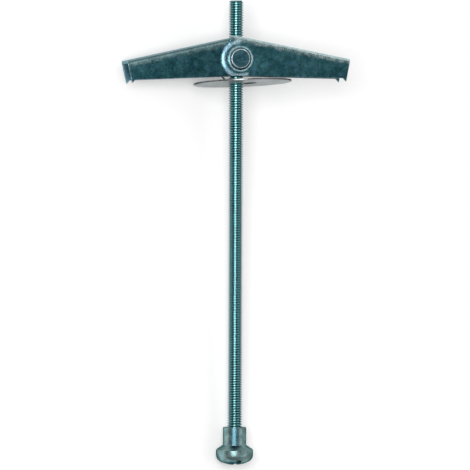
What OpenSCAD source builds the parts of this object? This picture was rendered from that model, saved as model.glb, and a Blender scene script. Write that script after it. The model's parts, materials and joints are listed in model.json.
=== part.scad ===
// Spring toggle bolt for cavity walls: a threaded rod with a slotted head nut,
// a loose washer, and two folded wings that a wire spring opens on a trunnion nut.
// It lies at rest on the floor, on its head rim, its washer rim and one wing tip.

/* [Threaded rod] */
// Outside diameter of the rod's thread
rod_d = 4.0; // [3:0.1:5]
// Free end of the rod above the wing pivot
rod_tip = 16.5; // [12:0.5:40]
// Rod from the wing pivot down to the mouth of the head nut
rod_reach = 104; // [60:1:200]
// Share of the head nut's height that holds the rod
held_share = 0.61; // [0.4:0.01:0.65]
// Chamfer on both ends of the rod
rod_chamfer = 0.3; // [0.2:0.1:0.8]

/* [Head nut] */
// Diameter of the head
head_d = 10.5; // [9:0.1:13]
// Radius of the rounded rim below the widest line
rim_r = 2.2; // [1.5:0.1:2.6]
// Angle at which the rim's round runs into the crown
crown_angle = 65; // [60:1:72]
// Straight band of the head's side
side_h = 1.05; // [0.5:0.05:2]
// Radius of the head's upper edge
edge_r = 0.7; // [0.3:0.1:1.2]
// Slope of the shoulder between head and collar
shoulder_slope = 35; // [20:1:50]
// Diameter of the collar
collar_d = 6.6; // [6:0.1:7.2]
// Length of the collar
collar_h = 4.95; // [3:0.05:8]
// Width of the screwdriver slot
slot_w = 1.5; // [0.8:0.1:2]
// Depth of the slot at the crown
slot_depth = 1.6; // [0.8:0.1:1.9]
// Turn of the slot about the rod
slot_turn = -11.5; // [-90:0.5:90]

/* [Washer] */
// Outside diameter of the washer
washer_d = 27.7; // [22:0.1:34]
// Hole of the washer
washer_hole = 8.0; // [7:0.1:9]
// Thickness of the washer
washer_t = 0.5; // [0.4:0.05:1]
// Distance of the washer below the wings' lower edge
washer_below = 1.85; // [1.7:0.05:3]
// Lean of the loose washer, which lifts the side it has slipped to
washer_lean = 2.75; // [0:0.05:3]
// Nod of the loose washer, which lifts its upper side
washer_nod = 2.6; // [0:0.1:3]
// Side to which the washer has slipped, about the rod
washer_swing = 28; // [10:1:40]

/* [Toggle wings] */
// Length of a wing along its web, from the pivot
wing_l = 31.4; // [28:0.1:45]
// Thickness of the folded sheet
sheet = 0.9; // [0.6:0.05:1.2]
// Inside radius of the folds
bend_inner = 0.4; // [0.2:0.05:0.8]
// Angle between a wing's web and its lower edge
taper = 9.9; // [8:0.1:11]
// Sheet left round the pivot hole
ear_wall = 1.5; // [1.2:0.05:2.5]
// Length of the lip that runs past the rod
lip_l = 2.9; // [2:0.1:3.5]
// Fillet between the lip and the ear
lip_fillet = 1.0; // [0.4:0.1:1.5]
// Height of the tooth at a wing's end
tooth_h = 0.9; // [0.4:0.05:1.5]
// Width of the tooth
tooth_w = 1.0; // [0.6:0.1:2]
// Droop of the left wing
left_droop = 2.7; // [0:0.1:5]
// Droop of the right wing
right_droop = 0.8; // [0:0.1:2]

/* [Trunnion nut and spring] */
// Wall of the trunnion nut beside the rod
trunnion_wall = 1.15; // [0.9:0.05:2]
// Length of trunnion that stands out of the wings at each end
trunnion_proud = 0.95; // [0.7:0.05:2]
// Chamfer on the trunnion's ends
trunnion_chamfer = 0.6; // [0.2:0.05:0.65]
// Diameter of the spring wire
wire_d = 0.45; // [0.3:0.05:0.6]
// Angle at which the spring's long leg meets the right wing's web
right_leg_angle = 8.5; // [7:0.1:12]
// Angle at which the spring's short leg meets the left wing's web
left_leg_angle = 22.1; // [18:0.1:24]
// Length of spring wire that shows below the left wing
tail_drop = 0.8; // [0.5:0.05:1]

/* [Hidden] */
$fn = 64;

// Clearances
thread_gap = 0.05;
pivot_gap = 0.05;
plate_gap = 0.15;
nest_gap = 0.6;
web_gap = 0.4;
spring_gap = 0.15;
leg_gap = 0.1;
washer_gap = 0.16;
fillet_bite = 0.02;
bore_room = 0.8;
overrun = 1;

// Rod
rod_r = rod_d / 2;
tip_r = rod_r - rod_chamfer;

// Head nut, measured up from its crown
head_r = head_d / 2;
rim_ring_r = head_r - rim_r;
crown_r = rim_r + rim_ring_r / cos(crown_angle);
rim_h = crown_r - (crown_r - rim_r) * sin(crown_angle);
edge_h = rim_h + side_h;
edge_ring_r = head_r - edge_r;
shoulder_turn = 90 - shoulder_slope;
shoulder_top_r = edge_ring_r + edge_r * cos(shoulder_turn);
shoulder_top_h = edge_h + edge_r * sin(shoulder_turn);
collar_r = collar_d / 2;
head_h = shoulder_top_h + (shoulder_top_r - collar_r) * tan(shoulder_slope);
nut_h = head_h + collar_h;
rod_held = held_share * nut_h;
crown_y = -rod_reach - nut_h;
mouth_chamfer = thread_gap + rod_chamfer / 2;
arc_steps = 12;

// Trunnion and the depths of the wing plates, measured from the rod's axis
trunnion_r = rod_r + thread_gap + trunnion_wall;
spring_room = 2 * wire_d + 2 * spring_gap;
inner_plate = rod_r + spring_room + sheet;
outer_plate = inner_plate + plate_gap + sheet;
trunnion_half = outer_plate + trunnion_proud;

// Wings: a frame along the web starts above the pivot
bend_r = sheet + bend_inner;
ear_r = trunnion_r + pivot_gap + ear_wall;
web_out = ear_r + nest_gap + sheet;
web_start = rod_r + web_gap;
lip_foot = outer_plate - sheet - plate_gap / 2;
function on_web(along, out) = [
    along * cos(taper) + (web_out + out) * sin(taper),
    (web_out + out) * cos(taper) - along * sin(taper)
];
function out_at(along, height) = (height + along * sin(taper)) / cos(taper) - web_out;
heel = on_web(wing_l, out_at(wing_l, -ear_r));
tooth_point = on_web(wing_l, out_at(wing_l, -ear_r - tooth_h));
tooth_foot = [heel[0] - tooth_w, -ear_r];
wing_end = on_web(wing_l, overrun);
fillet_x = fillet_bite - lip_l - lip_fillet;
fillet_y = sqrt(pow(ear_r + lip_fillet - fillet_bite, 2) - pow(fillet_x, 2));

// Washer, leaning and slipped aside until its hole meets the rod
washer_r = washer_d / 2;
washer_off = washer_hole / 2 - rod_r - washer_gap;
washer_y = -ear_r - washer_below;
washer_rise = washer_off * sin(washer_swing);
washer_axis_y = cos(washer_lean) * cos(washer_nod);
washer_axis_z = -sin(washer_lean) * cos(washer_nod) * sin(washer_swing) - sin(washer_nod) * cos(washer_swing);

// Rest on the floor: the pitch at which head rim and washer rim touch it
head_ring_y = crown_y + rim_h;
settle_steps = 12;
function washer_face(p) = washer_axis_y * sin(p) + washer_axis_z * cos(p);
function washer_low(p) = washer_r * sqrt(1 - pow(washer_face(p), 2)) + washer_t / 2 * abs(washer_face(p));
function settle(p, n) = n == 0 ? p : settle(asin((washer_low(p) - rim_r
    - (washer_rise + rim_ring_r) * cos(p)) / (washer_y - head_ring_y)), n - 1);
rest_pitch = settle(0, settle_steps);
rest_z = rim_r + rim_ring_r * cos(rest_pitch) - head_ring_y * sin(rest_pitch);

// Rest on the floor: the roll at which the left wing's tip touches it
function drooped(p, droop) = [p[0] * cos(droop) + p[1] * sin(droop), p[1] * cos(droop) - p[0] * sin(droop)];
function roll_to(p) = asin((rest_z + p[1] * sin(rest_pitch)) / cos(rest_pitch) / norm([p[0], outer_plate]))
    - atan2(outer_plate, p[0]);
rest_roll = min([for (p = [on_web(wing_l, -bend_r), tooth_point]) roll_to(drooped(p, left_droop))]);

// The origin is under the middle of the whole part
top_y = rod_tip * cos(rest_pitch) + tip_r * sin(rest_pitch);
bottom_y = (crown_y + crown_r) * cos(rest_pitch) - crown_r;
rest_y = -(top_y + bottom_y) / 2;

// Spring wire: legs that press the webs open, one turn round the trunnion, and a tail
wire_r = wire_d / 2;
coil_r = trunnion_r + spring_gap + wire_r;
coil_back = rod_r + spring_gap + wire_r;
coil_front = inner_plate - sheet - spring_gap - wire_r;
tail_bend_share = 1.5;
tail_bend_r = tail_bend_share * wire_d;
tail_lean = 45;
wire_sides = 10;
coil_steps = 36;
bend_steps = 6;
web_reach = web_out - sheet - wire_r - leg_gap;
function leg(rise) = (web_reach - coil_r * cos(rise)) / sin(rise);
right_drop = taper + right_droop - right_leg_angle;
left_drop = taper + left_droop - left_leg_angle;
left_heading = 180 + left_drop;
function at_angle(r, a) = r * [cos(a), sin(a)];
function arc(centre, r, from, to, n) = [for (i = [0 : n]) centre + at_angle(r, from + (to - from) * i / n)];
coil_from = 90 - right_drop;
coil_to = 450 + left_drop;
right_leg_end = at_angle(coil_r, coil_from) + at_angle(leg(right_leg_angle), -right_drop);
left_leg_end = at_angle(coil_r, coil_to) + at_angle(leg(left_leg_angle), left_heading);
hook_centre = left_leg_end + at_angle(tail_bend_r, left_heading + 90);
hook = arc(hook_centre, tail_bend_r, left_heading - 90, 180, bend_steps);
flick_centre = [hook_centre[0], -ear_r];
flick = arc(flick_centre, tail_bend_r, 180, 180 + tail_lean, bend_steps);
tail_end = flick[bend_steps] + at_angle(tail_drop, tail_lean - 90);
coil_path = [for (i = [0 : coil_steps]) let (s = i / coil_steps)
    concat(at_angle(coil_r, coil_from + (coil_to - coil_from) * s),
        coil_back + (coil_front - coil_back) * s)];
wire_path = concat([concat(right_leg_end, coil_back)], coil_path,
    [for (p = concat(hook, flick, [tail_end])) concat(p, coil_front)]);

// Turns a shape drawn along z to lie along the rod
module along_rod(y) {
    translate([0, y, 0]) rotate([-90, 0, 0]) children();
}

// Lays the part on the floor
module at_rest() {
    translate([0, rest_y, rest_z]) rotate([rest_pitch, 0, 0]) children();
}

// Lays the toggle on the floor, rolled about the rod
module toggle_at_rest() {
    at_rest() rotate([0, -rest_roll, 0]) children();
}

// A cylinder with both ends chamfered
module chamfered_rod(r, l, chamfer) {
    rotate_extrude()
        polygon([[0, 0], [r - chamfer, 0], [r, chamfer], [r, l - chamfer], [r - chamfer, l], [0, l]]);
}

// Section across a wing: a box with its two upper corners rounded
module fold_outline(low, high, top, r, foot) {
    translate([low, foot]) square([high - low, top - r - foot]);
    translate([low + r, foot]) square([high - low - 2 * r, top - foot]);
    for (x = [low + r, high - r]) translate([x, top - r]) circle(r);
}

// The endless folded channel: web on top, open below
module channel() {
    length = wing_l + lip_l + 2 * overrun + web_out;
    depth = web_out + ear_r + tooth_h + wing_l * sin(taper) + overrun;
    translate(on_web(0, 0)) rotate(-taper) translate([-lip_l - overrun - web_out * sin(taper), 0, 0])
        rotate([0, 90, 0]) linear_extrude(length) difference() {
            fold_outline(-outer_plate, inner_plate, 0, bend_r, -depth);
            fold_outline(sheet - outer_plate, inner_plate - sheet, -sheet, bend_inner, -depth - overrun);
        }
}

// Side of a wing from its root edge to the tooth, without the ear round the pivot
module blade(root) {
    polygon([[0, -ear_r], tooth_foot, tooth_point, wing_end, [root, web_out + overrun], [root, 0]]);
}

// Fillet in the corner between the lip and the ear, biting a little into both
module lip_corner() {
    difference() {
        polygon([[-lip_l, fillet_y], [fillet_x, fillet_y], [0, 0]]);
        translate([fillet_x, fillet_y]) circle(lip_fillet);
    }
}

// One folded wing: its front plate runs outside the other wing, its back plate inside it
module wing(droop) {
    rotate([0, 0, -droop]) difference() {
        intersection() {
            channel();
            union() {
                translate([0, 0, -outer_plate]) linear_extrude(2 * outer_plate + overrun) blade(web_start);
                translate([0, 0, -outer_plate]) linear_extrude(outer_plate) circle(ear_r);
                translate([0, 0, lip_foot]) linear_extrude(sheet + overrun) {
                    circle(ear_r);
                    blade(-lip_l);
                    lip_corner();
                }
            }
        }
        cylinder(r = trunnion_r + pivot_gap, h = 2 * (outer_plate + overrun), center = true);
    }
}

// Half section of the head nut, from the crown to the collar's mouth
module nut_section() {
    crown = arc([0, crown_r], crown_r, -90, -crown_angle, arc_steps);
    rim = arc([rim_ring_r, rim_h], rim_r, -crown_angle, 0, arc_steps);
    edge = arc([edge_ring_r, edge_h], edge_r, 0, shoulder_turn, arc_steps);
    polygon(concat(crown, rim, edge, [[collar_r, head_h], [collar_r, nut_h], [0, nut_h]]));
}

// A wire of round section along a path that stays across the z axis
module wire(path, r, sides) {
    last = len(path) - 1;
    function unit(v) = v / norm(v);
    function heading(i) = unit(path[min(i + 1, last)] - path[max(i - 1, 0)]);
    function ring(i) = let (t = heading(i), s = unit(cross([0, 0, 1], t)), u = cross(t, s))
        [for (k = [0 : sides - 1]) path[i] + r * (cos(360 * k / sides) * s + sin(360 * k / sides) * u)];
    points = [for (i = [0 : last]) each ring(i)];
    skin = [for (i = [0 : last - 1], k = [0 : sides - 1]) let (a = i * sides, n = (k + 1) % sides)
        each [[a + k, a + n, a + sides + n], [a + k, a + sides + n, a + sides + k]]];
    first_cap = [for (k = [sides - 1 : -1 : 0]) k];
    last_cap = [for (k = [0 : sides - 1]) last * sides + k];
    faces = concat([first_cap], skin, [last_cap]);
    polyhedron(points, [for (f = faces) [for (k = [len(f) - 1 : -1 : 0]) f[k]]]);
}

module threaded_rod() {
    color([0.30, 0.47, 0.48]) at_rest() along_rod(-rod_reach - rod_held)
        chamfered_rod(rod_r, rod_tip + rod_reach + rod_held, rod_chamfer);
}

module head_nut() {
    bore_h = nut_h - rod_held - bore_room;
    bore_r = rod_r + thread_gap;
    color([0.46, 0.56, 0.55]) at_rest() along_rod(crown_y) difference() {
        rotate_extrude() nut_section();
        translate([0, 0, bore_h]) cylinder(r = bore_r, h = nut_h);
        translate([0, 0, nut_h - mouth_chamfer])
            cylinder(r1 = bore_r, r2 = bore_r + 2 * mouth_chamfer, h = 2 * mouth_chamfer);
        rotate(slot_turn) translate([-slot_w / 2, -head_d, -overrun])
            cube([slot_w, 2 * head_d, overrun + slot_depth]);
    }
}

module washer() {
    color([0.66, 0.68, 0.68]) at_rest() rotate([0, -washer_swing, 0]) translate([washer_off, washer_y, 0])
        rotate([-washer_nod, 0, washer_lean]) along_rod(-washer_t / 2) difference() {
            cylinder(r = washer_r, h = washer_t);
            translate([0, 0, -overrun]) cylinder(r = washer_hole / 2, h = washer_t + 2 * overrun);
        }
}

module trunnion_nut() {
    color([0.24, 0.40, 0.42]) toggle_at_rest() difference() {
        translate([0, 0, -trunnion_half]) chamfered_rod(trunnion_r, 2 * trunnion_half, trunnion_chamfer);
        along_rod(-trunnion_r - overrun) cylinder(r = rod_r + thread_gap, h = 2 * (trunnion_r + overrun));
    }
}

module left_wing() {
    color([0.20, 0.36, 0.38]) toggle_at_rest() rotate([0, 180, 0]) wing(left_droop);
}

module right_wing() {
    color([0.22, 0.38, 0.40]) toggle_at_rest() wing(right_droop);
}

module wing_spring() {
    color([0.16, 0.20, 0.22]) toggle_at_rest() wire(wire_path, wire_r, wire_sides);
}

threaded_rod();
head_nut();
washer();
trunnion_nut();
left_wing();
right_wing();
wing_spring();
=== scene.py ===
"""Looks of a spring toggle bolt that lies on a pale studio floor.

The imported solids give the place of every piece. The thread, the washer and the spring wire are drawn
anew as surfaces; the pressed wings, the head nut and the trunnion keep their solids' shapes and get
broken edges. All metal is zinc plated with a blue-green passivation.
"""

import json
import logging
import math
from collections.abc import Callable
from dataclasses import dataclass, fields, replace
from enum import Enum
from typing import ClassVar

import bmesh
import bpy
import numpy as np
from mathutils import Matrix, Vector


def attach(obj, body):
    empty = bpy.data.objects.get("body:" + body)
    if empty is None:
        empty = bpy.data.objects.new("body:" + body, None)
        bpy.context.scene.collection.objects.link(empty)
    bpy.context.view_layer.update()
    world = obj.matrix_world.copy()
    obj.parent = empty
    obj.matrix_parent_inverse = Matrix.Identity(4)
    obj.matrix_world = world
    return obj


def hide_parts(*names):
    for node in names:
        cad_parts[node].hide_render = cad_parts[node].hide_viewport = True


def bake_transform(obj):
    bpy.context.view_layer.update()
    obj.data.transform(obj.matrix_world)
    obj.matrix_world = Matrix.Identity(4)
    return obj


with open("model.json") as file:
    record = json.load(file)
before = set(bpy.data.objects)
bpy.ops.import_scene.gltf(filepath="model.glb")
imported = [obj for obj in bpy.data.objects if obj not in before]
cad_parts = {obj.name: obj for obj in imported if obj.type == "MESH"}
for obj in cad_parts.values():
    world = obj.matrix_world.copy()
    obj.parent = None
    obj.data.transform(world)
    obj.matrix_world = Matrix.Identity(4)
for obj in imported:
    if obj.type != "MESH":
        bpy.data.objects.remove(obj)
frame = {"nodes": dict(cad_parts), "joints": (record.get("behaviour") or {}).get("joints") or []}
LOG = logging.getLogger("toggle_bolt")
MM = 0.001
ACROSS = np.array([1.0, 0.0, 0.0])
Triple = tuple[float, float, float]
Colour = Triple
Piece = bpy.types.Object
Material = bpy.types.Material
Tree = bpy.types.NodeTree
Node = bpy.types.Node
Socket = bpy.types.NodeSocket


# Places


def unit(vector: np.ndarray) -> np.ndarray:
    """A vector over its length."""
    return vector / np.linalg.norm(vector)


def plain(vector: np.ndarray) -> Triple:
    """An array's three numbers as plain floats."""
    return tuple(map(float, vector))


def circle(count: int) -> np.ndarray:
    """Even angles round a full turn, in radians."""
    return np.linspace(0, 2 * np.pi, count, endpoint=False)


def turned(a: np.ndarray, b: np.ndarray, degrees: float) -> tuple[np.ndarray, np.ndarray]:
    """Two coordinates turned by an angle in their plane, from the first towards the second."""
    c, s = math.cos(math.radians(degrees)), math.sin(math.radians(degrees))
    return a * c - b * s, a * s + b * c


@dataclass(frozen=True)
class RestPose:
    """Axes of the bolt as it lies on the floor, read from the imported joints.

    Args:
        pivot: centre of the trunnion in metres.
        rod: unit direction along the rod towards its free end.
        trunnion: unit direction along the trunnion, out of the front plate.
    """

    pivot: np.ndarray
    rod: np.ndarray
    trunnion: np.ndarray

    @classmethod
    def from_joints(cls, joints: list[dict]) -> "RestPose":
        """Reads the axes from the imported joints.

        Args:
            joints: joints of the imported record.

        Returns:
            The rest pose.
        """
        by_name = {j["name"]: j for j in joints}
        fold, travel = by_name["left_wing_fold"], by_name["toggle_travel"]
        pivot = np.array(fold["pos_m"], float)
        return cls(pivot, unit(np.array(travel["axis"], float)), unit(np.array(fold["axis"], float)))

    @property
    def up(self) -> np.ndarray:
        """Direction square to the rod, away from the floor."""
        return np.cross(ACROSS, self.rod)

    def on_bolt(self, points: np.ndarray) -> np.ndarray:
        """Points in mm, x across, y along the rod and z up, taken to the floor's frame in metres."""
        return self._place(points, ACROSS, self.up)

    def on_toggle(self, points: np.ndarray) -> np.ndarray:
        """Points in mm, x along the wings, y along the rod and z along the trunnion, taken likewise."""
        return self._place(points, np.cross(self.rod, self.trunnion), self.trunnion)

    def heading(self, x: float, y: float) -> Triple:
        """Unit direction in the floor's frame of a direction in the plane of the wings' plates."""
        return plain(unit(self.on_toggle(np.array([x, y, 0.0])) - self.pivot))

    def _place(self, points: np.ndarray, x_axis: np.ndarray, z_axis: np.ndarray) -> np.ndarray:
        """Pivot plus each coordinate times its axis."""
        return self.pivot + MM * (points @ np.stack([x_axis, self.rod, z_axis]))


POSE = RestPose.from_joints(frame["joints"])


# Meshes


def grid_faces(rows: int, cols: int) -> np.ndarray:
    """Quads of a grid that closes on itself along its columns.

    Args:
        rows: rows of points.
        cols: points in a row; the last joins the first.

    Returns:
        Array of point numbers, four to a quad.
    """
    r, c = np.meshgrid(np.arange(rows - 1), np.arange(cols), indexing="ij")
    n = (c + 1) % cols
    corners = [r * cols + c, r * cols + n, (r + 1) * cols + n, (r + 1) * cols + c]
    return np.stack(corners, -1).reshape(-1, 4)


def smooth_object(name: str, mesh: bpy.types.Mesh) -> Piece:
    """Shades a mesh smooth and puts it in the scene.

    Args:
        name: name of the object.
        mesh: its mesh.

    Returns:
        The object.
    """
    mesh.polygons.foreach_set("use_smooth", np.ones(len(mesh.polygons), bool))
    obj = bpy.data.objects.new(name, mesh)
    bpy.context.scene.collection.objects.link(obj)
    return obj


def surface_object(name: str, points: np.ndarray, quads: np.ndarray, tris: np.ndarray) -> Piece:
    """A smooth mesh object from arrays, with its faces turned outwards.

    Args:
        name: name of the object.
        points: vertices in metres.
        quads: faces of four.
        tris: faces of three, such as those round a pole, or none.

    Returns:
        The object, in the scene.
    """
    corners = np.concatenate([quads.ravel(), tris.ravel()])
    sizes = np.repeat([4, 3], [len(quads), len(tris)])
    mesh = bpy.data.meshes.new(name)
    mesh.vertices.add(len(points))
    mesh.vertices.foreach_set("co", points.astype(np.float32).ravel())
    mesh.loops.add(len(corners))
    mesh.loops.foreach_set("vertex_index", corners.astype(np.int32))
    mesh.polygons.add(len(sizes))
    mesh.polygons.foreach_set("loop_start", (np.cumsum(sizes) - sizes).astype(np.int32))
    mesh.update(calc_edges=True)
    mesh.validate()
    work = bmesh.new()
    work.from_mesh(mesh)
    bmesh.ops.recalc_face_normals(work, faces=work.faces)
    work.to_mesh(mesh)
    work.free()
    return smooth_object(name, mesh)


def capped_tube(rings: np.ndarray) -> tuple[np.ndarray, np.ndarray, np.ndarray]:
    """Closes a stack of rings at both ends with a fan round the end ring's middle.

    Args:
        rings: points, shape (rows, columns, 3).

    Returns:
        Points, quads and end triangles.
    """
    rows, cols = rings.shape[:2]
    points = np.concatenate([rings.reshape(-1, 3), rings[:1].mean(1), rings[-1:].mean(1)])
    c = np.arange(cols)
    n, top = (c + 1) % cols, (rows - 1) * cols
    first = np.stack([n, c, np.full(cols, rows * cols)], -1)
    last = np.stack([top + c, top + n, np.full(cols, rows * cols + 1)], -1)
    return points, grid_faces(rows, cols), np.concatenate([first, last])


def swept_wire(path: np.ndarray, radius: float, sides: int) -> np.ndarray:
    """Rings of a round wire: at each path point a circle square to the path, spanned by the path's
    sideways direction (trunnion axis cross heading) and the direction square to both.

    Args:
        path: centre line in mm, shape (n, 3), whose heading never runs along z.
        radius: radius of the wire.
        sides: points in a ring.

    Returns:
        Rings, shape (n, sides, 3).
    """
    heading = np.gradient(path, axis=0)
    heading /= np.linalg.norm(heading, axis=1, keepdims=True)
    side = np.cross([0.0, 0.0, 1.0], heading)
    side /= np.linalg.norm(side, axis=1, keepdims=True)
    up = np.cross(heading, side)
    turn = circle(sides)[None, :, None]
    return path[:, None] + radius * (np.cos(turn) * side[:, None] + np.sin(turn) * up[:, None])


def solid_copy(node: str, name: str, weld: float = 2e-6, flat_angle: float = 0.4) -> Piece:
    """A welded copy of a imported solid's mesh, with its flat faces made whole.

    Args:
        node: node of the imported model.
        name: name of the copy.
        weld: distance in metres under which corners are one.
        flat_angle: degrees under which neighbouring triangles count as one flat face.

    Returns:
        The copy, in the scene.
    """
    mesh = bpy.data.meshes.new(name)
    work = bmesh.new()
    work.from_mesh(frame["nodes"][node].data)
    bmesh.ops.remove_doubles(work, verts=work.verts, dist=weld)
    limit = math.radians(flat_angle)
    bmesh.ops.dissolve_limit(work, angle_limit=limit, verts=work.verts, edges=work.edges)
    work.to_mesh(mesh)
    work.free()
    return smooth_object(name, mesh)


# Shader nodes


def opaque(colour: Colour) -> tuple[float, float, float, float]:
    """A colour with its alpha."""
    return (*colour, 1.0)


def add_node(tree: Tree, kind: str, inputs: dict[str | int, object], **settings: object) -> Node:
    """A shader node with its settings made and its inputs fed.

    Args:
        tree: tree that gets the node.
        kind: Blender's name of the node, without its prefix.
        inputs: input name or number to a socket that feeds it or a value that it keeps.
        settings: the node's own properties.

    Returns:
        The node.
    """
    node = tree.nodes.new("ShaderNode" + kind)
    for name, value in settings.items():
        setattr(node, name, value)
    for key, value in inputs.items():
        if isinstance(value, Socket):
            tree.links.new(value, node.inputs[key])
        else:
            node.inputs[key].default_value = value
    return node


def math_node(tree: Tree, operation: str, *values: Socket | float) -> Socket:
    """A math operation on sockets or numbers."""
    return add_node(tree, "Math", dict(enumerate(values)), operation=operation).outputs[0]


def vector_node(tree: Tree, operation: str, *values: Socket) -> Node:
    """A vector math operation on sockets."""
    return add_node(tree, "VectorMath", dict(enumerate(values)), operation=operation)


def mix_node(tree: Tree, factor: Socket, first: Socket, second: object) -> Socket:
    """Two colours mixed by a factor; the second may be a plain colour."""
    inputs = {"Factor": factor, "A": first, "B": second}
    return add_node(tree, "Mix", inputs, data_type="RGBA").outputs["Result"]


def noise_node(tree: Tree, spot: Socket, scale: Socket | float, detail: float, rough: float) -> Socket:
    """Value of a noise texture at a spot, with its octaves set."""
    inputs = {"Vector": spot, "Scale": scale, "Detail": detail, "Roughness": rough}
    return add_node(tree, "TexNoise", inputs).outputs[0]


def remap_node(tree: Tree, source: Socket, span: tuple[float, float]) -> Socket:
    """Takes a span of values smoothly onto 0 to 1."""
    inputs = {"Value": source, "From Min": span[0], "From Max": span[1]}
    return add_node(tree, "MapRange", inputs, interpolation_type="SMOOTHSTEP").outputs[0]


def per_metre(tree: Tree, size: Socket) -> Socket:
    """Turns a size in mm into a texture scale in waves per metre."""
    return math_node(tree, "DIVIDE", 1.0 / MM, size)


# Finishes


class Effect(Enum):
    """Shader groups that several finishes share."""

    TINT = "passivation_tint"
    GRAIN = "plated_grain"
    STREAKS = "press_streaks"
    FOLD = "fold_highlight_rub"
    RING = "ring_highlight_rub"


@dataclass(frozen=True)
class Plating:
    """One zinc finish with its passivation.

    Args:
        name: name of the material.
        deep: colour where the passivation is thick.
        thin: colour where it is thin.
        bloom: colour of scattered blooms.
        patch: size of the colour patches in mm.
        speckle: share of the fine light and dark speckle.
        grain: size of the grain in mm.
        rough: lowest and highest roughness.
        relief: height of the grain's bump in mm.
        streak: share of pale press streaks.
        edge: tint of reflections at a grazing angle.
    """

    name: str
    deep: Colour
    thin: Colour
    bloom: Colour
    patch: float
    speckle: float
    grain: float
    rough: tuple[float, float]
    relief: float
    streak: float
    edge: Colour


class Rub:
    """Wear and painted highlight that a shader group lays over a colour. Each field of a kind of rub
    feeds the group's input of the same name."""

    effect: ClassVar[Effect]

    def apply(self, shop: "FinishShop", tree: Tree, spot: Socket, colour: Socket) -> Socket:
        """Lays the rubbed colour, with its painted highlight, over a colour.

        Args:
            shop: holder of the shader groups.
            tree: the material's nodes.
            spot: place on the piece.
            colour: colour below.

        Returns:
            The outcome.
        """
        values = {f.name.capitalize(): getattr(self, f.name) for f in fields(self)}
        values |= {"Vector": spot, "Color": colour, "Rubbed": opaque(self.rubbed)}
        return shop.place(tree, self.effect, values).outputs["Color"]


@dataclass(frozen=True)
class FoldHighlightRub(Rub):
    """A pale band along a fold of the sheet: a painted highlight where the fold catches the light, and
    plating rubbed thin.

    Args:
        normal: direction square to the web, out of the wing.
        level: distance of the web's outer face along that direction, in metres.
        depth: depth below the web to which the rubbing reaches, in mm.
        rubbed: colour of the painted highlight and the rubbed metal.
        share: how much of it shows.
    """

    effect: ClassVar[Effect] = Effect.FOLD
    normal: Triple
    level: float
    depth: float
    rubbed: Colour
    share: float


@dataclass(frozen=True)
class RingHighlightRub(Rub):
    """A ring round an axis: painted highlight with burnishing on the wings and the trunnion, and
    painted reflection on the head's collar.

    Args:
        centre: a point of the axis in metres.
        axis: unit direction of the axis.
        radius: radius at which it is strongest, in mm.
        width: distance inwards and outwards at which it ends, in mm.
        rubbed: colour of the painted highlight and the burnished metal.
        share: how much of it shows.
        side: direction on whose side it shows, or zero for a whole ring.
    """

    effect: ClassVar[Effect] = Effect.RING
    centre: Triple
    axis: Triple
    radius: float
    width: float
    rubbed: Colour
    share: float
    side: Triple = (0.0, 0.0, 0.0)


@dataclass(frozen=True)
class CrestWearRootShade:
    """Thread crests worn bright, and roots and flanks kept darker as painted shade, by the mesh's own
    crest attribute.

    Args:
        attribute: name of the attribute, 0 at the root and 1 at the crest.
        colour: colour of the worn crest.
        share: how much of it shows.
    """

    attribute: str
    colour: Colour
    share: float

    def apply(self, shop: "FinishShop", tree: Tree, spot: Socket, colour: Socket) -> Socket:
        """Lays the crest colour over a colour.

        Args:
            shop: holder of the shader groups, which this wear doesn't need.
            tree: the material's nodes.
            spot: place on the piece, which the attribute stands for.
            colour: colour below.

        Returns:
            The outcome.
        """
        height = add_node(tree, "Attribute", {}, attribute_name=self.attribute)
        part = math_node(tree, "MULTIPLY", height.outputs["Fac"], self.share)
        return mix_node(tree, part, colour, opaque(self.colour))


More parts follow.
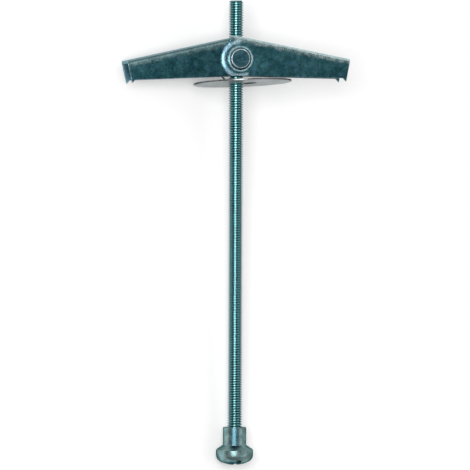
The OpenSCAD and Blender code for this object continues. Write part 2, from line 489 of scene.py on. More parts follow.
class FinishShop:
    """Builds the shared shader groups once and makes each finish from them. The spans are those of
    noise values that count as none to full; sizes are in mm."""

    grey = (0.5, 0.5, 0.5, 1.0)
    patch_span = (0.34, 0.68)
    bloom_span = (0.54, 0.74)
    bloom_finer = 1.7
    dust_size = 0.9
    dust_swing = 4.0
    darkest = 0.1
    grain_span = (0.3, 0.7)
    streak_scale = (300.0, 1500.0, 1500.0)
    streak_span = (0.58, 0.72)
    broken_size = 1.3
    broken_span = (0.75, 1.45)
    side_span = (-0.25, 0.0)

    def __init__(self) -> None:
        """Builds the groups."""
        makers = {
            Effect.TINT: self._tint,
            Effect.GRAIN: self._grain,
            Effect.STREAKS: self._streaks,
            Effect.FOLD: self._fold,
            Effect.RING: self._ring,
        }
        self.groups = {effect: make() for effect, make in makers.items()}

    @staticmethod
    def _group(effect: Effect, inputs: dict[str, object], *outputs: str) -> tuple[Tree, Node, Node]:
        """An empty shader group with named sockets.

        Args:
            effect: which group.
            inputs: socket name to its first value: none for a vector, a tuple for a colour.
            outputs: socket names; Color is a colour and the others are numbers.

        Returns:
            The group, its input node and its output node.
        """
        group = bpy.data.node_groups.new(effect.value, "ShaderNodeTree")
        for name, value in inputs.items():
            kind = "Vector" if value is None else "Color" if isinstance(value, tuple) else "Float"
            socket = group.interface.new_socket(name, in_out="INPUT", socket_type="NodeSocket" + kind)
            if value is not None:
                socket.default_value = value
        for name in outputs:
            kind = "Color" if name == "Color" else "Float"
            group.interface.new_socket(name, in_out="OUTPUT", socket_type="NodeSocket" + kind)
        return group, group.nodes.new("NodeGroupInput"), group.nodes.new("NodeGroupOutput")

    def _tint(self) -> Tree:
        """Colour of the passivation: thick to thin by broad noise, blooms by a finer one, and a fine
        speckle that lightens and darkens the whole.

        Returns:
            The group.
        """
        colours = {"Deep": self.grey, "Thin": self.grey, "Bloom": self.grey}
        inputs = {"Vector": None, "Patch": 2.0, "Speckle": 0.3, **colours}
        group, given, made = self._group(Effect.TINT, inputs, "Color")
        of = given.outputs
        scale = per_metre(group, of["Patch"])
        finer = math_node(group, "MULTIPLY", scale, self.bloom_finer)
        broad = noise_node(group, of["Vector"], scale, 4.0, 0.62)
        fine = noise_node(group, of["Vector"], finer, 2.0, 0.5)
        dust = noise_node(group, of["Vector"], 1.0 / (self.dust_size * MM), 3.0, 0.7)
        base = mix_node(group, remap_node(group, broad, self.patch_span), of["Deep"], of["Thin"])
        colour = mix_node(group, remap_node(group, fine, self.bloom_span), base, of["Bloom"])
        swing = math_node(group, "MULTIPLY", math_node(group, "SUBTRACT", dust, 0.5), of["Speckle"])
        level = math_node(group, "ADD", math_node(group, "MULTIPLY", swing, self.dust_swing), 1.0)
        level = math_node(group, "MAXIMUM", level, self.darkest)
        shaded = add_node(group, "VectorMath", {0: colour, "Scale": level}, operation="SCALE")
        group.links.new(shaded.outputs[0], made.inputs["Color"])
        return group

    def _grain(self) -> Tree:
        """Fine grain of the plating: roughness between two values and a height for the bump.

        Returns:
            The group.
        """
        inputs = {"Vector": None, "Grain": 0.3, "Smoothest": 0.2, "Roughest": 0.4}
        group, given, made = self._group(Effect.GRAIN, inputs, "Roughness", "Height")
        of = given.outputs
        noise = noise_node(group, of["Vector"], per_metre(group, of["Grain"]), 3.0, 0.55)
        span = {"Value": noise, "From Min": self.grain_span[0], "From Max": self.grain_span[1]}
        ends = {"To Min": of["Smoothest"], "To Max": of["Roughest"]}
        rough = add_node(group, "MapRange", span | ends)
        group.links.new(rough.outputs[0], made.inputs["Roughness"])
        group.links.new(noise, made.inputs["Height"])
        return group

    def _streaks(self) -> Tree:
        """Pale rubbed streaks along a piece: noise drawn out along x, cut off at a share.

        Returns:
            The group.
        """
        inputs = {"Vector": None, "Share": 0.1, "Color": self.grey, "Rubbed": self.grey}
        group, given, made = self._group(Effect.STREAKS, inputs, "Color")
        of = given.outputs
        drawn = add_node(group, "Mapping", {"Vector": of["Vector"], "Scale": self.streak_scale})
        noise = noise_node(group, drawn.outputs[0], 1.0, 3.0, 0.6)
        part = math_node(group, "MULTIPLY", remap_node(group, noise, self.streak_span), of["Share"])
        group.links.new(mix_node(group, part, of["Color"], of["Rubbed"]), made.inputs["Color"])
        return group

    def _rub(self, effect: Effect, extra: dict, mask_of: Callable[[Tree, Node], Socket]) -> Tree:
        """A group that lays a rubbed colour with its painted highlight over a colour by a mask and a
        broken noise.

        Args:
            effect: which group.
            extra: the mask's own inputs.
            mask_of: makes the mask from the group and its input node.

        Returns:
            The group.
        """
        colours = {"Color": self.grey, "Rubbed": self.grey}
        inputs = {"Vector": None, **extra, "Share": 0.5, **colours}
        group, given, made = self._group(effect, inputs, "Color")
        of = given.outputs
        noise = noise_node(group, of["Vector"], 1.0 / (self.broken_size * MM), 4.0, 0.65)
        total = math_node(group, "ADD", noise, mask_of(group, given))
        part = math_node(group, "MULTIPLY", remap_node(group, total, self.broken_span), of["Share"])
        group.links.new(mix_node(group, part, of["Color"], of["Rubbed"]), made.inputs["Color"])
        return group

    def _fold(self) -> Tree:
        """Painted highlight and rubbing along a fold: full at the web's face and none at a depth below
        it.

        Returns:
            The group.
        """

        def mask(group: Tree, given: Node) -> Socket:
            """Depth below the web over the full depth, taken from one.

            Args:
                group: the group.
                given: its input node.

            Returns:
                The mask.
            """
            of = given.outputs
            along = vector_node(group, "DOT_PRODUCT", of["Vector"], of["Normal"]).outputs["Value"]
            below = math_node(group, "DIVIDE", math_node(group, "SUBTRACT", of["Level"], along), MM)
            share = math_node(group, "DIVIDE", below, of["Depth"])
            return math_node(group, "MAXIMUM", math_node(group, "SUBTRACT", 1.0, share), 0.0)

        return self._rub(Effect.FOLD, {"Normal": None, "Level": 0.0, "Depth": 1.5}, mask)

    def _ring(self) -> Tree:
        """Painted highlight and burnishing round an axis: full at one radius, none at a distance inside
        or outside it, and only where the offset from the axis leans to a side.

        Returns:
            The group.
        """

        def mask(group: Tree, given: Node) -> Socket:
            """One less the share of the width by which the distance from the axis misses the radius;
            that distance is the length of the offset crossed with the axis.

            Args:
                group: the group.
                given: its input node.

            Returns:
                The mask.
            """
            of = given.outputs
            offset = vector_node(group, "SUBTRACT", of["Vector"], of["Centre"]).outputs[0]
            across = vector_node(group, "CROSS_PRODUCT", offset, of["Axis"]).outputs[0]
            far = math_node(group, "DIVIDE", vector_node(group, "LENGTH", across).outputs["Value"], MM)
            miss = math_node(group, "ABSOLUTE", math_node(group, "SUBTRACT", far, of["Radius"]))
            share = math_node(group, "DIVIDE", miss, of["Width"])
            way = vector_node(group, "NORMALIZE", offset).outputs[0]
            lean = vector_node(group, "DOT_PRODUCT", way, of["Side"]).outputs["Value"]
            band = math_node(group, "MAXIMUM", math_node(group, "SUBTRACT", 1.0, share), 0.0)
            return math_node(group, "MULTIPLY", band, remap_node(group, lean, self.side_span))

        extra = {"Centre": None, "Axis": None, "Radius": 3.0, "Width": 0.5, "Side": None}
        return self._rub(Effect.RING, extra, mask)

    def place(self, tree: Tree, effect: Effect, values: dict[str, object]) -> Node:
        """Places a group in a material and feeds its inputs."""
        return add_node(tree, "Group", values, node_tree=self.groups[effect])

    def metal(self, plating: Plating, *layers: Rub | CrestWearRootShade) -> Material:
        """Makes a plated metal.

        Args:
            plating: the finish.
            layers: wear laid over its colour, in order.

        Returns:
            The material.
        """
        material = bpy.data.materials.new(plating.name)
        material.use_nodes = True
        tree = material.node_tree
        shader = tree.nodes["Principled BSDF"]
        shader.inputs["Metallic"].default_value = 1.0
        shader.inputs["Specular Tint"].default_value = opaque(plating.edge)
        spot = add_node(tree, "TexCoord", {}).outputs["Object"]
        bloom, (low, high) = opaque(plating.bloom), plating.rough
        tint = {"Patch": plating.patch, "Speckle": plating.speckle, "Bloom": bloom}
        tint |= {"Vector": spot, "Deep": opaque(plating.deep), "Thin": opaque(plating.thin)}
        colour = self.place(tree, Effect.TINT, tint).outputs["Color"]
        streaks = {"Vector": spot, "Share": plating.streak, "Color": colour, "Rubbed": bloom}
        colour = self.place(tree, Effect.STREAKS, streaks).outputs["Color"]
        for layer in layers:
            colour = layer.apply(self, tree, spot, colour)
        grains = {"Vector": spot, "Grain": plating.grain, "Smoothest": low, "Roughest": high}
        grain = self.place(tree, Effect.GRAIN, grains)
        relief = {"Distance": plating.relief * MM, "Height": grain.outputs["Height"]}
        bump = add_node(tree, "Bump", relief)
        tree.links.new(colour, shader.inputs["Base Color"])
        tree.links.new(grain.outputs["Roughness"], shader.inputs["Roughness"])
        tree.links.new(bump.outputs["Normal"], shader.inputs["Normal"])
        return material


ROD_ROLLED = Plating(
    "rod_rolled_zinc", (0.013, 0.092, 0.099), (0.026, 0.148, 0.158), (0.040, 0.192, 0.208),
    patch=2.6, speckle=0.25, grain=0.25, rough=(0.16, 0.26),
    relief=0.003, streak=0.1, edge=(0.040, 0.190, 0.205),
)
RIGHT_SHEET = Plating(
    "right_wing_zinc", (0.021, 0.091, 0.108), (0.052, 0.164, 0.184), (0.059, 0.155, 0.237),
    patch=3.0, speckle=0.5, grain=0.35, rough=(0.20, 0.31),
    relief=0.010, streak=0.2, edge=(0.467, 0.667, 0.733),
)
# Painted shade: the left wing gets a darker copy of the right wing's plating, though both are the same
# metal.
LEFT_SHEET_SHADED = replace(
    RIGHT_SHEET, name="left_wing_zinc_shaded",
    deep=(0.013, 0.059, 0.071), thin=(0.032, 0.107, 0.123), bloom=(0.036, 0.104, 0.151),
)
WING_INNER = Plating(
    "wing_inner_zinc", (0.063, 0.158, 0.206), (0.114, 0.234, 0.294), (0.152, 0.280, 0.330),
    patch=3.0, speckle=0.4, grain=0.35, rough=(0.28, 0.42),
    relief=0.008, streak=0.2, edge=(0.600, 0.827, 0.907),
)
# Painted highlight on the rounded edges of the wings and the trunnion, nearly white, partly rubbed
# wear.
EDGE_HIGHLIGHT_WEAR = Plating(
    "wing_edge_highlight_and_wear", (0.533, 0.773, 0.853), (0.800, 0.970, 0.970), (0.960, 0.970, 0.970),
    patch=1.0, speckle=0.3, grain=0.3, rough=(0.20, 0.34),
    relief=0.004, streak=0.3, edge=(0.970, 0.970, 0.970),
)
TRUNNION_TURNED = Plating(
    "trunnion_turned_zinc", (0.024, 0.080, 0.107), (0.059, 0.157, 0.189), (0.077, 0.193, 0.280),
    patch=1.5, speckle=0.3, grain=0.2, rough=(0.20, 0.32),
    relief=0.006, streak=0.2, edge=(0.533, 0.733, 0.800),
)
HEAD_SATIN = Plating(
    "head_satin_zinc", (0.150, 0.235, 0.232), (0.262, 0.385, 0.375), (0.220, 0.410, 0.450),
    patch=2.4, speckle=0.18, grain=0.5, rough=(0.24, 0.36),
    relief=0.010, streak=0.2, edge=(0.120, 0.190, 0.185),
)
HEAD_EDGE = Plating(
    "head_rubbed_edge", (0.347, 0.507, 0.507), (0.613, 0.773, 0.773), (0.800, 0.970, 0.970),
    patch=1.0, speckle=0.2, grain=0.3, rough=(0.18, 0.30),
    relief=0.006, streak=0.3, edge=(0.933, 0.970, 0.970),
)
WASHER_PALE = Plating(
    "washer_pale_zinc", (0.387, 0.400, 0.400), (0.560, 0.580, 0.580), (0.680, 0.713, 0.727),
    patch=3.0, speckle=0.15, grain=0.3, rough=(0.28, 0.42),
    relief=0.006, streak=0.2, edge=(0.533, 0.573, 0.587),
)
WASHER_RIM = Plating(
    "washer_sheared_rim", (0.113, 0.123, 0.123), (0.187, 0.200, 0.200), (0.280, 0.296, 0.300),
    patch=2.0, speckle=0.2, grain=0.2, rough=(0.22, 0.34),
    relief=0.006, streak=0.3, edge=(0.187, 0.200, 0.200),
)
SPRING_DRAWN = Plating(
    "spring_drawn_wire", (0.027, 0.037, 0.043), (0.067, 0.083, 0.088), (0.120, 0.147, 0.160),
    patch=1.0, speckle=0.2, grain=0.15, rough=(0.25, 0.40),
    relief=0.003, streak=0.4, edge=(0.400, 0.453, 0.480),
)
# Painted highlights, partly burnishing: the ears' rims, the rings round the holes and on the trunnion,
# and the wings' corner spot.
EAR_RIM_HIGHLIGHT: Colour = (0.480, 0.693, 0.800)
HOLE_AND_CORNER_HIGHLIGHT: Colour = (0.600, 0.880, 0.970)
BARREL_FACE_HIGHLIGHT: Colour = (0.880, 0.970, 0.970)
BARREL_SEAT_HIGHLIGHT: Colour = (0.667, 0.933, 0.970)
# Painted highlights along the folds, partly rubbed plating; the left fold's is darker, as painted
# shade.
RIGHT_FOLD_HIGHLIGHT: Colour = (0.613, 0.747, 0.747)
LEFT_FOLD_HIGHLIGHT: Colour = (0.280, 0.413, 0.427)
# Colour of the worn crests; the roots keep the rod's darker plating as painted shade.
CREST_WORN: Colour = (0.205, 0.415, 0.445)
# Painted reflection: the blue band on the head's collar.
COLLAR_PAINTED_REFLECTION: Colour = (0.058, 0.146, 0.188)


# Pieces


def dress(obj: Piece, body: str | None, node: str, slot: str, *materials: Material) -> Piece:
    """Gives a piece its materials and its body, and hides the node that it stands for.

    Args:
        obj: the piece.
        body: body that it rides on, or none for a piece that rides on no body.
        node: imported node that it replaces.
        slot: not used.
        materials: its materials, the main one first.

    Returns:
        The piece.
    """
    for material in materials:
        obj.data.materials.append(material)
    if body is not None:
        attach(obj, body)
    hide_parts(node)
    LOG.info("%s stands for %s", obj.name, node)
    return obj


@dataclass(frozen=True)
class ThreadedRod:
    """The rod with its right-hand thread. Sizes in mm, from the wing pivot.

    Args:
        depth_share: depth of the thread over its pitch.
        crest_share: share of the pitch that the crest holds.
        root_share: share of the pitch that the root holds.
    """

    major_d: float = 4.0
    pitch: float = 0.7
    tip: float = 16.5
    foot: float = -110.4697
    chamfer: float = 0.3
    depth_share: float = 0.6134
    crest_share: float = 0.34
    root_share: float = 0.34
    rows_per_pitch: int = 16
    cols: int = 32

    def ridge(self, y: np.ndarray, turn: np.ndarray) -> np.ndarray:
        """Height of the thread's ridge, 0 at the root and 1 at the crest. Its phase is height over
        pitch less turn over a full turn; crest and root hold their shares of the pitch, and the flanks
        between them run straight, eased a little at both ends.

        Args:
            y: heights.
            turn: angles about the rod, by the right-hand rule.

        Returns:
            Ridge heights.
        """
        phase = (y / self.pitch - turn / (2 * np.pi)) % 1.0
        off = np.abs(phase - 0.5) * 2
        flank = (1 - self.root_share - off) / (1 - self.root_share - self.crest_share)
        flank = np.clip(flank, 0, 1)
        return 0.5 * flank + 0.5 * flank * flank * (3 - 2 * flank)

    def build(self, finish: Material) -> None:
        """Builds the thread on a grid of heights and turns, cut by the chamfers' cones at both ends,
        and keeps the ridge's height as the crest attribute.

        Args:
            finish: the rod's finish.
        """
        rows = int((self.tip - self.foot) / self.pitch * self.rows_per_pitch)
        heights = np.linspace(self.foot, self.tip, rows)
        y, turn = np.meshgrid(heights, circle(self.cols), indexing="ij")
        ridge, crest = self.ridge(y, turn), self.major_d / 2
        cone = crest - self.chamfer + np.minimum(y - self.foot, self.tip - y)
        r = np.minimum(crest - self.depth_share * self.pitch * (1 - ridge), cone)
        rings = POSE.on_bolt(np.stack([r * np.sin(turn), y, r * np.cos(turn)], -1))
        obj = surface_object("rod_thread", *capped_tube(rings))
        worn = np.concatenate([ridge.ravel(), [0.5, 0.5]]).astype(np.float32)
        obj.data.attributes.new("crest", "FLOAT", "POINT").data.foreach_set("value", worn)
        dress(obj, "rod", "threaded_rod", "rod_zinc", finish)


@dataclass(frozen=True)
class Washer:
    """The loose washer, leaning on the rod. Sizes in mm, angles in degrees.

    Args:
        below: its height along the rod, from the wing pivot.
        slip: how far it has slipped across the rod.
        sheared_share: share of the rollover that counts to the sheared rim.
    """

    outer_d: float = 27.7
    hole_d: float = 8.0
    thick: float = 0.5
    rollover: float = 0.12
    below: float = -6.6
    slip: float = 1.84
    lean: float = 2.75
    nod: float = 2.6
    swing: float = 28.0
    sheared_share: float = 0.6
    segments: int = 160

    def section(self) -> np.ndarray:
        """Closed half section, radius and height: a rectangle with its four corners rounded by quarter
        circles, the rim first.

        Returns:
            Points of the section.
        """
        corner = np.linspace(0, np.pi / 2, 5)
        ring = np.stack([np.cos(corner), np.sin(corner)], -1) * self.rollover
        half, edge = self.thick / 2 - self.rollover, self.rollover
        outer, inner = self.outer_d / 2 - edge, self.hole_d / 2 + edge
        turns = [np.eye(2), np.array([[0, 1], [-1, 0]]), -np.eye(2), np.array([[0, -1], [1, 0]])]
        centres = [(outer, half), (inner, half), (inner, -half), (outer, -half)]
        return np.concatenate([ring @ t + np.array(c) for t, c in zip(turns, centres)])

    def build(self, face: Material, sheared: Material) -> None:
        """Carries the section round a circle, then nods, leans, slips and swings the disc about the
        rod. Faces that lie wholly at the rim or in the hole take the sheared finish.

        Args:
            face: finish of the flat faces.
            sheared: finish of the rim and the hole.
        """
        r, h = self.section().T
        turn = circle(self.segments)[:, None]
        x, z = r * np.cos(turn), r * np.sin(turn)
        y = np.broadcast_to(h, x.shape)
        z, y = turned(z, y, self.nod)
        x, y = turned(x, y, self.lean)
        x, y = x + self.slip, y + self.below
        x, z = turned(x, z, self.swing)
        points = POSE.on_bolt(np.stack([x, y, z], -1)).reshape(-1, 3)
        quads = grid_faces(self.segments + 1, len(r)) % len(points)
        obj = surface_object("washer_disc", points, quads, np.empty((0, 3), int))
        nearer, farther = np.minimum(r, np.roll(r, -1)), np.maximum(r, np.roll(r, -1))
        rim = nearer > self.outer_d / 2 - self.sheared_share * self.rollover
        bore = farther < self.hole_d / 2 + self.sheared_share * self.rollover
        cut = np.tile(rim | bore, self.segments)
        obj.data.polygons.foreach_set("material_index", cut.astype(np.int32))
        dress(obj, "washer", "washer", "washer_zinc", face, sheared)


@dataclass(frozen=True)
class WingSpring:
    """The wire spring: two legs under the webs, one turn round the trunnion and a tail. Sizes in mm,
    angles in degrees, pairs for the right wing and the left.

    Args:
        back: place of the coil's first end along the trunnion.
        front: place of its last end.
        web_reach: distance from the pivot to the wire under a web.
        taper: fall of a wing's web before the wing droops.
        rises: angles at which the legs meet the webs.
        droops: droops of the wings.
        lap: part of the coil that goes with each leg's run.
    """

    wire_d: float = 0.45
    coil_r: float = 3.575
    back: float = 2.375
    front: float = 2.825
    web_reach: float = 5.025
    taper: float = 9.9
    rises: tuple[float, float] = (8.5, 22.1)
    droops: tuple[float, float] = (0.8, 2.7)
    bend_r: float = 0.675
    ear_r: float = 4.75
    tail_drop: float = 0.8
    tail_lean: float = 45.0
    lap: float = 75.0
    lap_points: int = 26
    coil_points: int = 66
    sides: int = 16

    @staticmethod
    def at(radius: float, angle: np.ndarray | float) -> np.ndarray:
        """Points at a radius and angles in degrees."""
        a = np.radians(np.asarray(angle, float))
        return radius * np.stack([np.cos(a), np.sin(a)], -1)

    def runs(self) -> tuple[np.ndarray, np.ndarray, np.ndarray]:
        """Centre lines of the wire's three runs. The coil climbs evenly from the back to the front; the
        right run is a straight leg and the coil's first lap, and the left run is its last lap, a
        straight leg, a hook down past the web, and a flick below the wing's edge.

        Returns:
            The right run, the middle of the coil and the left run, points in the toggle's frame.
        """
        drops = [self.taper + d - r for d, r in zip(self.droops, self.rises)]
        rises = np.radians(self.rises)
        legs = (self.web_reach - self.coil_r * np.cos(rises)) / np.sin(rises)
        start, stop, heading = 90 - drops[0], 450 + drops[1], 180 + drops[1]
        splits = (start, start + self.lap, stop - self.lap, stop)
        counts = (self.lap_points, self.coil_points, self.lap_points)
        climb = (self.front - self.back) / (stop - start)
        turns = [np.linspace(a, b, n) for a, b, n in zip(splits, splits[1:], counts)]
        coils = [np.c_[self.at(self.coil_r, t), self.back + climb * (t - start)] for t in turns]
        reach = np.linspace(legs[0], 0, 12, endpoint=False)[:, None]
        right = self.at(self.coil_r, start) + self.at(1.0, -drops[0]) * reach
        reach = np.linspace(0, legs[1], 8)[1:, None]
        left = self.at(self.coil_r, stop) + self.at(1.0, heading) * reach
        centre = left[-1] + self.at(self.bend_r, heading + 90)
        hook = centre + self.at(self.bend_r, np.linspace(heading - 90, 180, 10)[1:])
        fall = np.linspace(hook[-1, 1], -self.ear_r, 10)[1:-1]
        down = np.stack([np.full(len(fall), hook[-1, 0]), fall], -1)
        bend = self.at(self.bend_r, np.linspace(180, 180 + self.tail_lean, 8))
        flick = np.array([centre[0], -self.ear_r]) + bend
        reach = np.linspace(0, self.tail_drop, 5)[1:, None]
        tail = flick[-1] + self.at(1.0, self.tail_lean - 90) * reach
        ends = np.concatenate([left, hook, down, flick, tail])
        first = np.concatenate([np.c_[right, np.full(len(right), self.back)], coils[0]])
        last = np.concatenate([coils[2], np.c_[ends, np.full(len(ends), self.front)]])
        return first, coils[1], last

    def build(self, finish: Material) -> None:
        """Sweeps a round section along each run. The middle of the coil goes with the trunnion, and the
        two runs with the legs and laps ride on no body.

        Args:
            finish: the wire's finish.
        """
        first, coil, last = self.runs()
        pieces = {"spring_leg_right": first, "spring_coil": coil, "spring_leg_left": last}
        for name, run in pieces.items():
            rings = POSE.on_toggle(swept_wire(run, self.wire_d / 2, self.sides))
            body = "toggle" if run is coil else None
            obj = surface_object(name, *capped_tube(rings))
            dress(obj, body, "wing_spring", "spring_steel", finish)
        for name, wing, fixed, free in (
            ("spring_leg_right", "right", coil[0], first[-self.lap_points]),
            ("spring_leg_left", "left", coil[-1], last[self.lap_points - 1]),
        ):
            level = np.array([free[0], *fixed[1:]])
            start, end = map(plain, POSE.on_toggle(np.stack([fixed, level])))
            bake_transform(bpy.data.objects[name])


@dataclass(frozen=True)
class PressedPiece:
    """A piece that keeps its solid's shape and gets broken edges.

    Args:
        node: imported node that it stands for.
        name: name of the piece.
        body: body that it rides on.
        slot: material slot of the record.
        edge: width of its rounded edges in mm.
        segments: steps across a rounded edge.
        angle: degrees over which an edge counts as sharp.
        edge_slot: number of the material of its rounded edges.
    """

    node: str
    name: str
    body: str
    slot: str
    edge: float
    segments: int = 3
    angle: float = 32.0
    edge_slot: int = 1

    def build(self, face: Material, edges: Material) -> Piece:
        """Copies the solid, dresses it, rounds its sharp edges and keeps its wide faces flat.

        Args:
            face: material of its faces.
            edges: material of its rounded edges.

        Returns:
            The piece.
        """
        copy = solid_copy(self.node, self.name)
        obj = dress(copy, self.body, self.node, self.slot, face, edges)
        bevel = obj.modifiers.new("broken_edges", "BEVEL")
        bevel.width = self.edge * MM
        bevel.segments = self.segments
        bevel.limit_method = "ANGLE"
        bevel.angle_limit = math.radians(self.angle)
        bevel.material = self.edge_slot
        obj.modifiers.new("flat_faces", "WEIGHTED_NORMAL")
        return obj


@dataclass(frozen=True)
class FoldedWing(PressedPiece):
    """A folded wing, whose plates have another finish on their inner faces.

    Args:
        facing: how squarely a face looks along the trunnion to count as a plate's.
        inner_slot: number of the material of the inner faces.
    """

    facing: float = 0.9
    inner_slot: int = 2

    def line(self, obj: Piece, inner: Material) -> None:
        """Gives the inner faces of the two plates their own finish: those that look back at the middle
        plane, along the trunnion.

        Args:
            obj: the wing.
            inner: the finish.
        """
        faces = obj.data.polygons
        centres, normals = np.empty((len(faces), 3), np.float32), np.empty((len(faces), 3), np.float32)
        faces.foreach_get("center", centres.ravel())
        faces.foreach_get("normal", normals.ravel())
        side = np.sign((centres - POSE.pivot) @ POSE.trunnion)
        inside = side * (normals @ POSE.trunnion) < -self.facing
        obj.data.materials.append(inner)
        faces.foreach_set("material_index", np.where(inside, self.inner_slot, 0).astype(np.int32))


@dataclass
class Toggle:
    """The toggle: two nested wings, the trunnion nut and the spring. Sizes in mm.

    Args:
        web_out: distance from the pivot to a web's outer face.
        ear_r: radius of the wings' round ears.
        hole_r: radius of the ears' holes, in which the trunnion's ends sit.
        face_r: radius of the ring on the trunnion's face.
        corner_at: middle of the pale spot of painted highlight and wear at the corner between the ears
            and the webs.
        corner_reach: distance to which it reaches.
        free_side: direction on whose side the left ear's rim has its painted highlight and wear.
        fold_depths: depths of the painted highlight and rubbing below the right web and the left.
        rub_share: share of the painted highlight and bare metal in most rubbed places.
        left_rub_share: that share along the left wing's fold, lower than on the right and with a darker
            colour, as painted shade.
    """

    left: FoldedWing = FoldedWing("left_wing", "wing_left", "left", "wing_zinc", 0.28)
    right: PressedPiece = PressedPiece("right_wing", "wing_right", "right", "wing_zinc", 0.28)
    trunnion: PressedPiece = PressedPiece(
        "trunnion_nut", "trunnion_barrel", "toggle", "trunnion_zinc", 0.14
    )
    spring: WingSpring = WingSpring()
    web_out: float = 6.25
    ear_r: float = 4.75
    ear_width: float = 1.1
    hole_r: float = 3.25
    hole_width: float = 0.75
    seat_width: float = 0.3
    face_r: float = 2.6
    face_width: float = 0.28
    corner_at: tuple[float, float] = (-0.6, 5.0)
    corner_reach: float = 2.3
    free_side: tuple[float, float] = (-0.93, -0.37)
    fold_depths: tuple[float, float] = (2.6, 3.4)
    rub_share: float = 0.9
    left_rub_share: float = 0.7

    def web(self, side: int, slope: float) -> tuple[Triple, float]:
        """Outward direction and level of a wing's web.

        Args:
            side: 1 for the right wing, -1 for the left.
            slope: fall of the web towards the wing's end, in degrees.

        Returns:
            The unit direction, and the web's distance along it in metres.
        """
        a = math.radians(slope)
        out = POSE.heading(side * math.sin(a), math.cos(a))
        return out, float(POSE.pivot @ np.array(out) + MM * self.web_out)

    def build(self, shop: FinishShop) -> None:
        """Builds and dresses the toggle's pieces.

        Args:
            shop: maker of the finishes.
        """
        # The rounded edges' finish is a painted highlight, partly wear.
        edges, inner = shop.metal(EDGE_HIGHLIGHT_WEAR), shop.metal(WING_INNER)
        axis = plain(POSE.trunnion)
        spot = plain(POSE.pivot), axis
        free = POSE.heading(*self.free_side)
        corner = plain(POSE.on_toggle(np.array([*self.corner_at, 0.0])))
        # Painted highlights, partly burnishing: the ear's rim on its free side, a ring round the hole
        # and a spot at the corner.
        rings = (
            RingHighlightRub(*spot, self.ear_r, self.ear_width, EAR_RIM_HIGHLIGHT, self.rub_share, free),
            RingHighlightRub(*spot, self.hole_r, self.hole_width, HOLE_AND_CORNER_HIGHLIGHT, self.rub_share),
            RingHighlightRub(corner, axis, 0.0, self.corner_reach, HOLE_AND_CORNER_HIGHLIGHT, self.rub_share),
        )
        # Painted highlights round the trunnion's face and seat, partly burnishing.
        turned_rings = (
            RingHighlightRub(*spot, self.face_r, self.face_width, BARREL_FACE_HIGHLIGHT, self.rub_share),
            RingHighlightRub(*spot, self.hole_r, self.seat_width, BARREL_SEAT_HIGHLIGHT, self.rub_share),
        )
        slopes = [self.spring.taper + droop for droop in self.spring.droops]
        depths = self.fold_depths
        # Painted highlights along the wings' folds, partly rubbing, with the left one darker as painted
        # shade.
        right = FoldHighlightRub(*self.web(1, slopes[0]), depths[0], RIGHT_FOLD_HIGHLIGHT, self.rub_share)
        left = FoldHighlightRub(*self.web(-1, slopes[1]), depths[1], LEFT_FOLD_HIGHLIGHT, self.left_rub_share)
        self.left.line(self.left.build(shop.metal(LEFT_SHEET_SHADED, *rings, left), edges), inner)
        self.right.build(shop.metal(RIGHT_SHEET, *rings, right), edges)
        self.trunnion.build(shop.metal(TRUNNION_TURNED, *turned_rings), edges)
        self.spring.build(shop.metal(SPRING_DRAWN))


@dataclass
class Bolt:
    """The bolt: the rod with its thread, the head nut and the washer. Sizes in mm, angles in degrees.

    Args:
        collar_r: radius of the head's collar.
        band_turn: turn of the collar's band of painted reflection from the top, to the left wing's
            side.
        band_reach: distance from the band's middle at which it ends.
        worn: share of the wear on the crests and of the painted reflection in the band.
    """

    rod: ThreadedRod = ThreadedRod()
    head: PressedPiece = PressedPiece("head_nut", "head_mushroom", "head", "head_zinc", 0.28)
    washer: Washer = Washer()
    collar_r: float = 3.2
    band_turn: float = 28.0
    band_reach: float = 3.4
    worn: float = 0.95

    def band(self) -> RingHighlightRub:
        """A painted reflection: a blue band along the upper side of the head's collar, strongest on a
        line that runs along the rod.

        Returns:
            The band, as a ring of no radius.
        """
        a = math.radians(self.band_turn)
        line = POSE.on_bolt(self.collar_r * np.array([-math.sin(a), 0.0, math.cos(a)]))
        return RingHighlightRub(plain(line), plain(POSE.rod), 0.0, self.band_reach, COLLAR_PAINTED_REFLECTION, self.worn)

    def build(self, shop: FinishShop) -> None:
        """Builds and dresses the bolt's pieces.

        Args:
            shop: maker of the finishes.
        """
        self.rod.build(shop.metal(ROD_ROLLED, CrestWearRootShade("crest", CREST_WORN, self.worn)))
        self.head.build(shop.metal(HEAD_SATIN, self.band()), shop.metal(HEAD_EDGE))
        self.washer.build(shop.metal(WASHER_PALE), shop.metal(WASHER_RIM))


# Studio


@dataclass(frozen=True)
class SoftBox:
    """An area lamp that points at the bolt.

    Args:
        name: name of the lamp.
        place: its place in metres.
        size: its sides in metres, across the rod and along it.
        watts: its power.
        colour: its colour.
    """

    name: str
    place: Triple
    size: tuple[float, float]
    watts: float
    colour: Colour = (1.0, 1.0, 1.0)

    def build(self) -> None:
        """Adds the lamp, its second side along the rod."""
        lamp = bpy.data.lights.new(self.name, "AREA")
        lamp.shape = "RECTANGLE"
        lamp.size, lamp.size_y = self.size
        lamp.energy = self.watts
        lamp.color = self.colour
        obj = bpy.data.objects.new(self.name, lamp)
        bpy.context.scene.collection.objects.link(obj)
        back = Vector(self.place).normalized()
        along = (Vector((0, 1, 0)) - back * back.y).normalized()
        turn = Matrix((along.cross(back), along, back)).transposed().to_4x4()
        obj.matrix_world = Matrix.Translation(self.place) @ turn


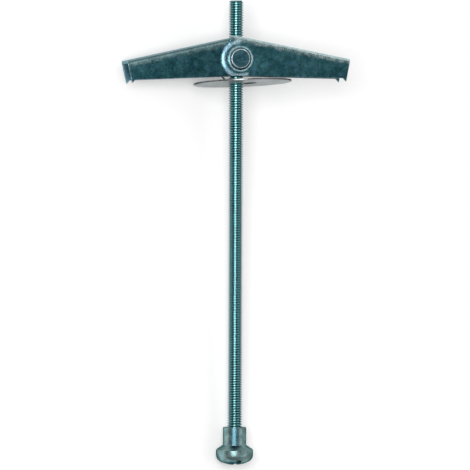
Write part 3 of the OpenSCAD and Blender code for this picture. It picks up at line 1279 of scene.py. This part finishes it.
@dataclass
class Studio:
    """Floor, room, lamps and camera.

    Args:
        reach: distance of the camera from the rod in metres.
        span: width of the view there in metres.
        aim: point of the rod in the middle of the view, in mm from the wing pivot.
        aside: how far the view's middle lies right of the rod, in mm.
        lean: lean of the camera to the left wing's side, in degrees.
        lift: its lift to the rod's free end, in degrees.
        tip_roll: its roll, in degrees.
        sensor: width of its sensor in mm.
        clip: nearest and farthest distance that it shows, in metres.
        floor_side: half the floor's side in metres.
        floor_shade: reflectance of the floor.
        glow: strength by which the floor shows whiter to the camera and to reflections.
        dim_side: middle of the room's dim side.
        dim_span: dot products with it between which the room goes from pale to dim.
        shades: shades of the room's pale and dim sides.
        lamps: the lamps.
    """

    reach: float = 1.036
    span: float = 0.1328
    aim: float = -49.64
    aside: float = -0.11
    lean: float = 28.07
    lift: float = 0.9
    tip_roll: float = 0.235
    sensor: float = 36.0
    clip: tuple[float, float] = (0.01, 10.0)
    floor_side: float = 3.0
    floor_shade: float = 0.82
    glow: float = 0.18
    dim_side: Triple = (-0.47, 0.0, 0.88)
    dim_span: tuple[float, float] = (0.02, 0.42)
    shades: tuple[float, float] = (0.60, 0.345)
    lamps: tuple[SoftBox, ...] = (
        SoftBox("key_box", (-0.319, 0.02, 0.531), (0.30, 0.29), 2.8, (1.0, 0.98, 0.98)),
        SoftBox("fold_box", (-0.12, 0.36, 0.60), (0.22, 0.50), 0.225),
        SoftBox("end_box", (0.45, 0.70, 0.40), (0.50, 0.35), 0.525),
        SoftBox("side_box", (0.335, -0.05, 0.557), (0.42, 0.60), 0.6),
    )

    def camera(self) -> None:
        """Stands the camera off the rod, leaning to the left wing's side and lifted a little to the
        rod's free end, with the rod upright in view."""
        a, e, t = (math.radians(v) for v in (self.lean, self.lift, self.tip_roll))
        flat = -math.sin(a) * ACROSS + math.cos(a) * POSE.up
        back = math.cos(e) * flat + math.sin(e) * POSE.rod
        right = np.cross(POSE.rod, flat)
        top = np.cross(back, right)
        right, top = right * math.cos(t) + top * math.sin(t), top * math.cos(t) - right * math.sin(t)
        target = POSE.pivot + MM * self.aim * POSE.rod + MM * self.aside * right
        data = bpy.data.cameras.new("camera")
        data.sensor_fit, data.sensor_width = "HORIZONTAL", self.sensor
        data.lens = self.sensor * self.reach / self.span
        data.clip_start, data.clip_end = self.clip
        obj = bpy.data.objects.new("camera", data)
        turn = Matrix((Vector(right), Vector(top), Vector(back))).transposed().to_4x4()
        obj.matrix_world = Matrix.Translation(Vector(target + self.reach * back)) @ turn
        bpy.context.scene.collection.objects.link(obj)
        bpy.context.scene.camera = obj

    def floor(self) -> None:
        """Lays a wide pale floor that shows whiter to camera, glossy and transmission rays but keeps
        the shadow."""
        side = self.floor_side
        mesh = bpy.data.meshes.new("floor")
        corners = [(-side, -side, 0), (side, -side, 0), (side, side, 0), (-side, side, 0)]
        mesh.from_pydata(corners, [], [(0, 1, 2, 3)])
        material = bpy.data.materials.new("floor_white")
        material.use_nodes = True
        tree = material.node_tree
        shader = tree.nodes["Principled BSDF"]
        shader.inputs["Base Color"].default_value = opaque((self.floor_shade,) * 3)
        shader.inputs["Roughness"].default_value = 0.9
        shader.inputs["Specular IOR Level"].default_value = 0.0
        shader.inputs["Emission Color"].default_value = (1, 1, 1, 1)
        rays = add_node(tree, "LightPath", {}).outputs
        seen = math_node(tree, "MAXIMUM", rays["Is Camera Ray"], rays["Is Glossy Ray"])
        seen = math_node(tree, "MAXIMUM", seen, rays["Is Transmission Ray"])
        glow = math_node(tree, "MULTIPLY", seen, self.glow)
        tree.links.new(glow, shader.inputs["Emission Strength"])
        mesh.materials.append(material)
        obj = bpy.data.objects.new("floor", mesh)
        bpy.context.scene.collection.objects.link(obj)

    def room(self) -> None:
        """Sets up a grey room, dim overhead and on the left, pale elsewhere. Its shade follows the
        direction's dot product with the dim side's middle."""
        world = bpy.data.worlds.new("studio_room")
        bpy.context.scene.world = world
        world.use_nodes = True
        tree = world.node_tree
        way = add_node(tree, "TexCoord", {}).outputs["Generated"]
        dim = add_node(tree, "VectorMath", {0: way, 1: self.dim_side}, operation="DOT_PRODUCT")
        ramp = add_node(tree, "ValToRGB", {0: dim.outputs["Value"]})
        for stop, place, shade in zip(ramp.color_ramp.elements, self.dim_span, self.shades):
            stop.color = opaque((shade,) * 3)
            stop.position = place
        tree.links.new(ramp.outputs["Color"], tree.nodes["Background"].inputs["Color"])

    def build(self) -> None:
        """Sets up the whole studio."""
        bpy.context.scene.view_settings.view_transform = "Standard"
        self.camera()
        self.floor()
        self.room()
        for lamp in self.lamps:
            lamp.build()


def main() -> None:
    """Builds the studio and the two sub-assemblies."""
    logging.basicConfig(level=logging.INFO, format="%(name)s: %(message)s")
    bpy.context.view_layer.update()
    shop = FinishShop()
    Studio().build()
    Bolt().build(shop)
    Toggle().build(shop)


if __name__ == "__main__":
    main()
